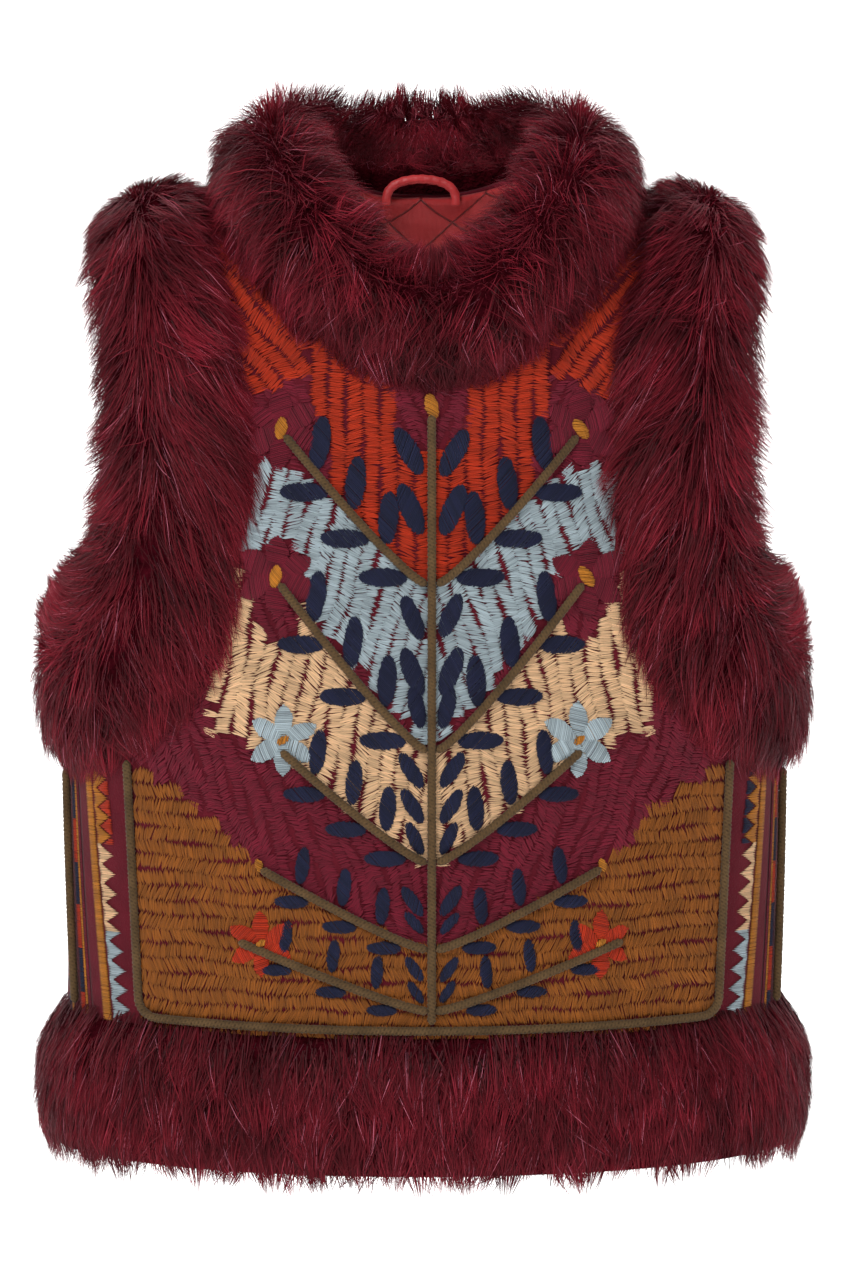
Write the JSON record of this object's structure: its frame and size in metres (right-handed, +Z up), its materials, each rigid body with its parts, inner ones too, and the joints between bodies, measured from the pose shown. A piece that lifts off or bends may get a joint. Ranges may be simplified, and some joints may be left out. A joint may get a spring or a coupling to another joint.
{
  "type": "embroidered vest",
  "caption": "Sleeveless wool vest, filled out as worn, with corded embroidery on its front, a quilted back lining, a fur collar, fur armholes and a fur hem band.",
  "frame": {"origin": "between the shoulders, level with the back neck seam, where the wearer's shoulders carry the vest", "axes": "+Z up, -Y towards the front, +X to the viewer's right when facing the front"},
  "size_m": [0.4496, 0.28, 0.6254],
  "materials": {
    "embroidered_wool": "felted wool cloth, densely hand embroidered",
    "plain_wool": "felted wool cloth",
    "quilted_satin": "diamond-quilted satin",
    "fur": "long-haired fur",
    "olive_cord": "twisted wool cord"
  },
  "bodies": {
    "root": {"front": "embroidered_wool", "back": "plain_wool", "back_lining": "quilted_satin", "collar": "fur", "armhole_trim_left": "fur", "armhole_trim_right": "fur", "hem_band": "fur", "stem_cord": "olive_cord", "branch_1_left": "olive_cord", "branch_1_right": "olive_cord", "branch_2_left": "olive_cord", "branch_2_right": "olive_cord", "branch_3_left": "olive_cord", "branch_3_right": "olive_cord", "branch_4_left": "olive_cord", "branch_4_right": "olive_cord", "branch_5_left": "olive_cord", "branch_5_right": "olive_cord", "front_border": "olive_cord", "back_border_left": "olive_cord", "back_border_right": "olive_cord", "hanger_loop": "quilted_satin"}
  },
  "joints": []
}
